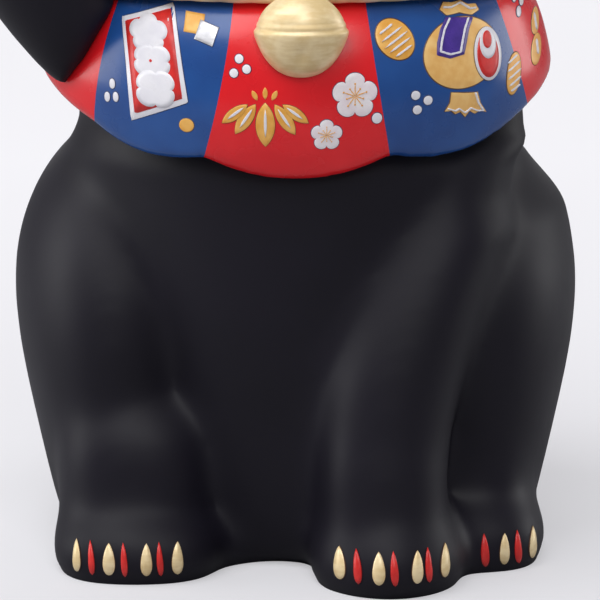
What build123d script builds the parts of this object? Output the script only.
from build123d import *
import os
from math import cos, pi, sin

# Beckoning cat figurine: a slip-cast coin bank.  Millimetres, +Z up, the cat looks towards -Y,
# its own right side is at -X.  The origin lies in the base plane, on the stopper hole's axis.

# ---- driving dimensions -------------------------------------------------------------------
CLAY_WALL = 5.0            # thickness of the cast wall
NECK_HEIGHT = 180.0        # level where the head is joined to the body
VENT_RADIUS = 3.0          # hole under the head that lets air out in the kiln
HOLE_RADIUS = 20.0         # stopper hole in the base
RECESS_RADIUS = 26.0       # shallow recess that keeps the stopper off the table
RECESS_DEPTH = 5.0
BASE_THICKNESS = RECESS_DEPTH + CLAY_WALL
FIT_GAP = 0.05             # running clearance of the stopper
SLOT_LENGTH = 36.0         # coin slot in the upper back
SLOT_WIDTH = 5.0
SLOT_HEIGHT = 148.0
GLAZE_LAYER = 0.4          # thickness of one layer of raised enamel
CLAW_THICKNESS = 0.9
BIB_CENTRE_Y = -3.0
BIB_TOP = 178.0
BIB_BACK = 19.0            # how far round towards the back the bib reaches
REACH = 120.0              # length of a cutting prism, longer than the cat is deep
CORD_RADIUS = 3.0
OVAL_POINTS = 16           # points on each cross-section

# Cross-sections: height, half width, front y, back y.
TORSO = [
    (0, 50, -43, 70), (14, 52, -48, 78), (42, 54, -50.5, 83), (75, 59, -54.5, 80),
    (105, 66, -57, 71), (128, 68.5, -58, 60), (148, 68.5, -57, 51), (166, 61.5, -51, 43), (180, 47, -40, 34),
]
# Cross-sections: height, centre x, centre y, half width, half depth.  The haunch is the cat's left one.
HAUNCH = [
    (-6, 50, 8, 19, 40), (10, 51.5, 8, 22, 45), (28, 53, 8, 24.5, 49.5), (50, 54.5, 8, 27.5, 53),
    (73, 55, 10, 30, 54.5), (94, 54.5, 13, 28.5, 49), (108, 53.5, 15, 24, 41), (119, 52.5, 18, 15, 28),
]
FORELEG = [
    (-6, 25, -52, 18, 18), (20, 24.8, -52, 18.5, 18.5), (46, 25.6, -50, 19, 19.5), (72, 31.6, -45, 20, 20),
    (98, 40.4, -35, 20.8, 20), (122, 45, -25, 23, 19.5), (140, 46, -20, 21, 16),
]
ARM = [
    (142.5, -66, -31, 3, 3), (151, -67, -31, 10, 10), (159, -68, -31, 15.5, 15),
    (169, -70.6, -33, 19.4, 18), (186, -75, -36, 21.8, 19), (206, -78.5, -39, 20.8, 18.5), (228, -79, -42, 18.5, 18),
    (243, -77.5, -45, 17.5, 17), (254, -77, -47, 15, 13),
]
BIB = [
    (112, 66, 56), (120, 69, 59.5), (128, 71.5, 62), (136, 74.7, 63.3), (144, 76.2, 63.5), (152, 75, 62.5),
    (160, 72.8, 60), (168, 68, 55), (176, 58.5, 46.5), (182, 48.5, 38.5),
]
EAR = [(232, 34, -2, 21, 13), (248, 39, -2, 20.5, 11.5), (262, 43, -2, 17, 9), (275, 46, -2, 10.5, 6.5),
       (286, 48, -2, 4, 3.5)]

# Ellipsoids: centre, then half sizes.
HEAD_LEVEL = 216
HEAD = ((0, -4, HEAD_LEVEL), (68, 58, 52))
MUZZLE = ((0, -53, HEAD_LEVEL - 17), (20, 11, 13))
RIGHT_HIND_PAW = ((-50.7, -38, 6), (22, 26, 17))
LEFT_HIND_PAW = ((54.5, -28.5, 6), (20, 25.5, 17))
FORE_PAW = ((26, -58, 6), (21, 24, 18))
RAISED_PAW = ((-76, -52, 251), (20, 22, 17))
TAIL = ((0, 76, 22), (15, 17, 15))
BELL = ((0.4, -64, 161), (13.4, 8.5, 11.3))
BELL_CROWN = ((0.4, -62, 165.5), (11.4, 8, 6.8))

UPRIGHT = (Align.CENTER, Align.CENTER, Align.MIN)

os.makedirs("parts", exist_ok=True)


# ---- forms --------------------------------------------------------------------------------
def oval(height, centre_x, centre_y, half_width, half_depth):
    """A level oval face."""
    turns = [2 * pi * i / OVAL_POINTS for i in range(OVAL_POINTS)]
    points = [(centre_x + half_width * cos(t), centre_y + half_depth * sin(t), height) for t in turns]
    return make_face(Spline(*points, periodic=True))


def oval_loft(sections, grow=0.0):
    """A smooth body through level ovals, each one grown outwards by the same amount."""
    return loft([oval(z, x, y, a + grow, b + grow) for z, x, y, a, b in sections])


def ellipsoid(centre, halves, grow=0.0):
    sizes = tuple(float(half + grow) for half in halves)
    return Pos(*centre) * scale(Sphere(1), by=sizes)


def torso(grow=0.0):
    sections = [(z, 0, (back + front) / 2, half, (back - front) / 2) for z, half, front, back in TORSO]
    return oval_loft(sections, grow)


def haunch(grow=0.0):
    return oval_loft(HAUNCH, grow)


def foreleg(grow=0.0):
    return oval_loft(FORELEG, grow)


def arm(grow=0.0):
    return oval_loft(ARM, grow) + ellipsoid(*RAISED_PAW, grow)


def bib(grow=0.0):
    return oval_loft([(z, 0, BIB_CENTRE_Y, a, b) for z, a, b in BIB], grow)


def head(grow=0.0):
    return ellipsoid(*HEAD, grow) + ellipsoid(*MUZZLE, grow)


def ear(grow=0.0):
    return oval_loft(EAR, grow)


def below(height):
    """Everything under a level plane."""
    return Pos(0, 0, height - 150) * Box(600, 600, 300)


def prism(outline, start_y=0.0):
    """An outline drawn in the X-Z plane, pushed forwards from start_y."""
    return extrude(Plane(origin=(0, start_y, 0), x_dir=(1, 0, 0), z_dir=(0, -1, 0)) * outline, amount=REACH)


def relief(form, outline, layer=0, thickness=GLAZE_LAYER, start_y=0.0):
    """Raised enamel: the outline laid on a form's front, on top of the given number of layers."""
    inner = layer * GLAZE_LAYER
    return (prism(outline, start_y) & form(inner + thickness)) - form(inner)


def save(name, *solids):
    """Write one node; several solids make a group."""
    pieces = []
    for solid in solids:
        pieces += solid.solids()
    shape = pieces[0] if len(pieces) == 1 else Compound(pieces)
    export_step(shape, f"parts/{name}.step")
    return shape


# ---- outlines in the X-Z plane ---------------------------------------------------------------
def disc(x, z, radius):
    return Pos(x, z) * Circle(radius)


def oval_mark(x, z, half_width, half_height, turn=0.0):
    return Pos(x, z) * Rot(0, 0, turn) * Ellipse(half_width, half_height)


def square_mark(x, z, side, turn=0.0):
    return Pos(x, z) * Rot(0, 0, turn) * Rectangle(side, side)


def polygon(*points):
    return make_face(Polyline(*points, close=True))


def teardrop(x, z, width, height):
    """A claw: pointed at the top, round at the bottom, centred on x and z."""
    radius = width / 2
    low = z - height / 2 + radius
    edges = [
        ThreePointArc((x - radius, low), (x, low - radius), (x + radius, low)),
        Line((x + radius, low), (x, z + height / 2)),
        Line((x, z + height / 2), (x - radius, low)),
    ]
    return make_face(edges)


def leaf(root, tip, width):
    """A pointed leaf between two points."""
    middle = Vector((root[0] + tip[0]) / 2, (root[1] + tip[1]) / 2)
    along = Vector(tip[0] - root[0], tip[1] - root[1])
    side = Vector(-along.Y, along.X).normalized() * (width / 2)
    one, other = middle + side, middle - side
    edges = [
        ThreePointArc(root, (one.X, one.Y), tip),
        ThreePointArc(tip, (other.X, other.Y), root),
    ]
    return make_face(edges)


def blossom(x, z, radius):
    """Five round petals about a middle."""
    shape = disc(x, z, radius * 0.5)
    for i in range(5):
        turn = 2 * pi * i / 5 + pi / 2
        shape += disc(x + radius * 0.56 * cos(turn), z + radius * 0.56 * sin(turn), radius * 0.44)
    return shape


# ---- clay castings ---------------------------------------------------------------------------
torso_form = torso()
bib_form = bib()
haunch_form = haunch()
right_haunch_form = mirror(haunch_form, Plane.YZ)
left_hind_form = ellipsoid(*LEFT_HIND_PAW)
right_hind_form = ellipsoid(*RIGHT_HIND_PAW)
table = below(0)
inner_torso = torso(-CLAY_WALL)


def torso_shell():
    """The hollow trunk, open below, with the coin slot in its back."""
    hollow = inner_torso & below(NECK_HEIGHT - CLAY_WALL)
    slot = Pos(0, 60, SLOT_HEIGHT) * Box(SLOT_LENGTH, 60, SLOT_WIDTH)
    return torso_form - hollow - slot


def base_disc():
    """The disc that closes the trunk, with the stopper's recess and hole."""
    recess = Cylinder(RECESS_RADIUS, 2 * RECESS_DEPTH)
    hole = Cylinder(HOLE_RADIUS, 4 * BASE_THICKNESS)
    return (inner_torso & below(BASE_THICKNESS)) - recess - hole


def haunch_shell(form, hollow):
    """A haunch cast as a bowl, open where the trunk's wall closes it."""
    return form - hollow - torso_form - table


def standing_foreleg():
    leg = foreleg() + ellipsoid(*FORE_PAW)
    return leg - torso_form - haunch_form - left_hind_form - table


def head_shell():
    outside = head() - below(NECK_HEIGHT)
    hollow = ellipsoid(*HEAD, -CLAY_WALL) - below(NECK_HEIGHT + CLAY_WALL)
    vent = Pos(0, 0, NECK_HEIGHT) * Cylinder(VENT_RADIUS, 4 * CLAY_WALL)
    return outside - hollow - vent


def beckoning_arm():
    return arm() - bib_form - neck_cord()


def tail():
    return ellipsoid(*TAIL) - torso_form


def base_stopper():
    """A soft plug with a flange and a bar to pull it by."""
    flange = Pos(0, 0, 1.5) * Cylinder(RECESS_RADIUS - 1, RECESS_DEPTH - 1.5 - FIT_GAP, align=UPRIGHT)
    plug = Pos(0, 0, 1.5) * Cylinder(HOLE_RADIUS - FIT_GAP, BASE_THICKNESS + 2, align=UPRIGHT)
    pocket = Pos(0, 0, 1.5) * Cylinder(10, 4) - Box(4, 30, 30)
    return flange + plug - pocket


def both_sides(name, solid):
    """The cat's left piece and its mirror image on the right."""
    save(f"left_{name}", solid)
    save(f"right_{name}", mirror(solid, Plane.YZ))


save("torso_shell", torso_shell())
save("base_disc", base_disc())
save("base_stopper", base_stopper())
both_sides("haunch", haunch_shell(haunch_form, haunch(-CLAY_WALL)))
save("left_hind_paw", left_hind_form - torso_form - haunch_form - table)
save("right_hind_paw", right_hind_form - torso_form - right_haunch_form - table)
save("standing_foreleg", standing_foreleg())
save("head_shell", head_shell())
both_sides("ear", ear() - ellipsoid(*HEAD))
save("tail", tail())


# ---- bib: five glazed clay panels ----------------------------------------------------------------
# The seams and the hem are drawn in the X-Z plane and shared by the panels on each side of them.
HEM = [(-82, 152.7), (-59.2, 133.3), (-27.3, 126.4), (25.9, 126.9), (67.5, 135.8), (82, 152.7)]
HEM_LOWEST = [(-69.5, 139.2), (-45, 126), (-1, 120.2), (46, 125.6), (73, 140.7)]
SEAM_TOP = [-46, -17.4, 17.2, 52]
SEAM_MIDDLE = [(-57.2, 150), (-21.4, 152), (21.6, 152), (63.2, 151)]
SEAM_CEILING = BIB_TOP + 4


def seam(i):
    return ThreePointArc(HEM[i + 1], SEAM_MIDDLE[i], (SEAM_TOP[i], SEAM_CEILING))


def hem_arc(i):
    return ThreePointArc(HEM[i], HEM_LOWEST[i], HEM[i + 1])


def upright(i):
    """The outer side of the first or the last panel."""
    x, z = HEM[i]
    return Line((x, z), (x, SEAM_CEILING))


def panel_outline(i):
    """One panel's front, between two seams, or between a seam and the side."""
    is_first = i == 0
    is_last = i == len(HEM_LOWEST) - 1
    left = upright(i) if is_first else seam(i - 1)
    right = upright(i + 1) if is_last else seam(i)
    top = Line(left @ 1, right @ 1)
    return make_face([hem_arc(i), right, top, left])


def flank_outline(i):
    """The part of an outer panel that goes round the cat's side."""
    inner_x, inner_z = HEM[1] if i == 0 else HEM[-2]
    outer = upright(0) if i == 0 else upright(i + 1)
    corners = Polyline(outer @ 1, (0, SEAM_CEILING), (0, inner_z), (inner_x, inner_z))
    return make_face([hem_arc(i), outer, corners])


bib_shell = (bib_form & below(BIB_TOP)) - torso_form - foreleg()
PANELS = ["bib_right_red_panel", "bib_right_blue_panel", "bib_centre_red_panel", "bib_left_blue_panel",
          "bib_left_red_panel"]
flanks = bib_shell - Pos(0, BIB_CENTRE_Y - 200, 150) * Box(400, 400, 400)
for i, name in enumerate(PANELS):
    panel = bib_shell & prism(panel_outline(i), BIB_CENTRE_Y)
    if i in (0, len(PANELS) - 1):
        panel = panel + (flanks & prism(flank_outline(i), BIB_BACK))
    save(name, panel)


# ---- collar: cord, bow and bell -------------------------------------------------------------------
CORD_HEIGHT = 173.2
CORD_FRONT = (68, 55.2)        # half width and half depth where the cord lies on the bib
CORD_NAPE = (59.5, 46.8)       # the same where it lies on the trunk's back


def neck_cord():
    """A ring that leaves the bib's oval behind the shoulders and closes in on the nape."""
    points = []
    for i in range(OVAL_POINTS):
        turn = 2 * pi * i / OVAL_POINTS - pi / 2
        nape_share = min(max((sin(turn) - 0.4) * 2.4, 0), 1)
        half_width, half_depth = (a + (b - a) * nape_share for a, b in zip(CORD_FRONT, CORD_NAPE))
        points.append((half_width * cos(turn), BIB_CENTRE_Y + half_depth * sin(turn), CORD_HEIGHT))
    path = Spline(*points, periodic=True)
    start = Plane(origin=path @ 0, z_dir=path % 0)
    return sweep(start * Circle(CORD_RADIUS), path=path)


def cord_bow():
    """A knot with two loops and two short ends at the nape."""
    back = BIB_CENTRE_Y + CORD_NAPE[1] + CORD_RADIUS
    knot = ellipsoid((0, back + 4.6, CORD_HEIGHT), (5.5, 4.5, 5))
    loop = Pos(12, back + 4.6, CORD_HEIGHT + 1) * Rot(90, 0, 0) * scale(Torus(7.5, 2.2), by=(1.35, 0.8, 1.0))
    end = Pos(5, back + 4.6, CORD_HEIGHT - 9) * Rot(0, -25, 0) * Cylinder(2.2, 18)
    half = loop + end
    return knot + half + mirror(half, Plane.YZ)


def bell():
    return ellipsoid(*BELL) + ellipsoid(*BELL_CROWN) - bib_form - neck_cord()


save("neck_cord", neck_cord())
save("beckoning_arm", beckoning_arm())
save("cord_bow", cord_bow())
save("bell", bell())


# ---- raised enamel on the bib ------------------------------------------------------------------
def on_bib(name, outline, layer=0):
    save(name, relief(bib, outline, layer))


CARD = [(-51.1, 164.6), (-35.9, 169.8), (-31.5, 142), (-48.4, 135.2)]
CARD_FIELD = [(-49.9, 163.6), (-36.9, 167.8), (-33.2, 143.4), (-47.6, 137.8)]
card_field = polygon(*CARD_FIELD)
card_cloud = disc(-43.2, 160, 5) + disc(-41.8, 152.8, 4.6) + disc(-40.6, 145.4, 5.2)
on_bib("card_border", polygon(*CARD) - card_field)
on_bib("card_field", card_field)
on_bib("card_cloud", card_cloud, 1)

silver_square = square_mark(-26.5, 161.7, 6, 20)
on_bib("gold_leaf_square", square_mark(-30, 164.3, 6) - silver_square)
on_bib("silver_leaf_square", silver_square)

LEAVES = [((-10.2, 142.8), (-9.6, 130.8), 5.4), ((-12.7, 142.1), (-18.2, 134.1), 4.6),
          ((-7.1, 142), (-1.7, 134.2), 4.6), ((-15.6, 142.1), (-22.1, 137.2), 3.8), ((-4.5, 142.3), (2, 138), 3.8)]
leaves = [leaf(*each) for each in LEAVES]
shoots = [disc(-12.8, 145.4, 1.3), disc(-9.9, 146.4, 1.3), disc(-7, 145.4, 1.3)]
save("bamboo_leaves", *[relief(bib, mark) for mark in leaves + shoots])

on_bib("plum_blossom_large", blossom(15.6, 144.9, 7))
on_bib("plum_blossom_small", blossom(7.4, 133.8, 4.7))


def stamens(x, z, radius):
    shape = disc(x, z, radius * 0.14)
    for i in range(5):
        turn = 2 * pi * i / 5 + pi / 2
        shape += disc(x + radius * 0.36 * cos(turn), z + radius * 0.36 * sin(turn), radius * 0.09)
    return shape


on_bib("blossom_stamens", stamens(15.6, 144.9, 7) + stamens(7.4, 133.8, 4.7), 1)

coin_outline = oval_mark(26.9, 160, 6.3, 4.9, -35)
coin_bars = oval_mark(26.9, 160, 0.5, 2.6, 15)
for step in (-1.5, 1.5, 3):
    coin_bars += oval_mark(26.9 + step, 160 - 0.5 * step, 0.5, 2.4, 15)
small_coin = oval_mark(61.8, 147.3, 2.3, 6, 5)
save("oval_coins", relief(bib, coin_outline), relief(bib, small_coin))
on_bib("coin_bars", coin_bars, 1)

barrel = oval_mark(46.7, 155.4, 11.4, 10.4)
mallet_cap = Pos(45.5, 167.4) * Rectangle(11, 3)
mallet_foot = polygon((43.2, 144.2), (50.6, 143.8), (53.5, 137.4), (41, 137.8))
mallet_band = Pos(43.4, 158.8) * Rot(0, 0, -6) * Rectangle(9, 11)
eye_ring = oval_mark(53.6, 155, 3, 6.2)
eye_red = oval_mark(53.6, 155, 1.9, 4.6)
on_bib("mallet_barrel", barrel)
on_bib("mallet_cap", mallet_cap - barrel)
on_bib("mallet_foot", mallet_foot - barrel)
on_bib("mallet_band", mallet_band, 1)
on_bib("mallet_ring", eye_ring - eye_red, 1)
on_bib("mallet_eye", eye_red, 1)

WHITE_DOTS = [(-17.2, 155.2), (-18.9, 151), (-15.1, 152.3), (-53.8, 145.6), (-55.3, 141.5), (-52.6, 142),
              (32.9, 144.3), (36.5, 142.6), (33.3, 140), (21.8, 138.3), (62.6, 166.8)]
white_dots = [disc(x, z, 1.3) for x, z in WHITE_DOTS]
save("white_dots", *[relief(bib, dot) for dot in white_dots])
on_bib("gold_dot", disc(-32.3, 135.7, 1.9))
on_bib("side_gourd", oval_mark(69.3, 152.2, 2.2, 5) + oval_mark(68.9, 159.7, 1.6, 3.4))


# ---- paws: gold claws and red lines between the toes -------------------------------------------------
CLAW_WIDTH = 3.4
CLAW_HEIGHT = 9
LINE_HALF_WIDTH = 1.0
LINE_HALF_HEIGHT = 4.8

# For each paw: where its claws are, and where its red lines are.
RIGHT_HIND_TOES = [-65.1, -55.6, -44.7, -35.7], [-60.8, -51.2, -40.8]
LEFT_HIND_TOES = [60.6, 69.2], [54.7, 64.7]      # the inner toes are hidden behind the standing paw
STANDING_TOES = [11.4, 22.5, 33.6, 41.9], [16.4, 26.9, 36.9]
RAISED_TOES = [-87, -79.6, -72.2, -64.8], [-83.3, -75.9, -68.5]


def paw_marks(paw_name, paw, toes, height):
    """Claws on the front of a paw, with red lines between them."""
    def form(grow):
        return ellipsoid(*paw, grow)

    claws = [teardrop(x, height, CLAW_WIDTH, CLAW_HEIGHT) for x in toes[0]]
    lines = [oval_mark(x, height, LINE_HALF_WIDTH, LINE_HALF_HEIGHT) for x in toes[1]]
    middle_y = paw[0][1]
    for kind, marks in (("claws", claws), ("toe_lines", lines)):
        solids = [relief(form, mark, thickness=CLAW_THICKNESS, start_y=middle_y) for mark in marks]
        save(f"{paw_name}_{kind}", *solids)


paw_marks("right_hind", RIGHT_HIND_PAW, RIGHT_HIND_TOES, 7.5)
paw_marks("left_hind", LEFT_HIND_PAW, LEFT_HIND_TOES, 7)
paw_marks("standing_paw", FORE_PAW, STANDING_TOES, 9.3)
paw_marks("raised_paw", RAISED_PAW, RAISED_TOES, 246)


# ---- face ------------------------------------------------------------------------------------------
EYE_X = 27
EYE_LEVEL = HEAD_LEVEL + 4
NOSE_LEVEL = HEAD_LEVEL - 10.5
MOUTH_LEVEL = HEAD_LEVEL - 17.5
both_sides("eye", relief(head, oval_mark(EYE_X, EYE_LEVEL, 10, 9)))
both_sides("pupil", relief(head, oval_mark(EYE_X - 1, EYE_LEVEL, 3.6, 7), layer=1))
both_sides("ear_lining", relief(ear, polygon((34, 266), (57.5, 266), (48.5, 280)), start_y=-2))
save("nose", relief(head, oval_mark(0, NOSE_LEVEL, 4.6, 2.8)))

smile = None
for x in (-4.6, 4.6):
    curve = oval_mark(x, MOUTH_LEVEL, 5, 4.4) - oval_mark(x, MOUTH_LEVEL + 1, 4.4, 4.2)
    smile = curve if smile is None else smile + curve
smile = smile - Pos(0, MOUTH_LEVEL + 4.5) * Rectangle(30, 7)
save("mouth_line", relief(head, smile))

whiskers = []
for side in (-1, 1):
    for drop, tilt in ((0, -8), (7, 0), (14, 8)):
        stroke = oval_mark(side * 43, HEAD_LEVEL - 10 - drop, 10, 0.7, -side * tilt)
        whiskers.append(relief(head, stroke))
save("whiskers", *whiskers)
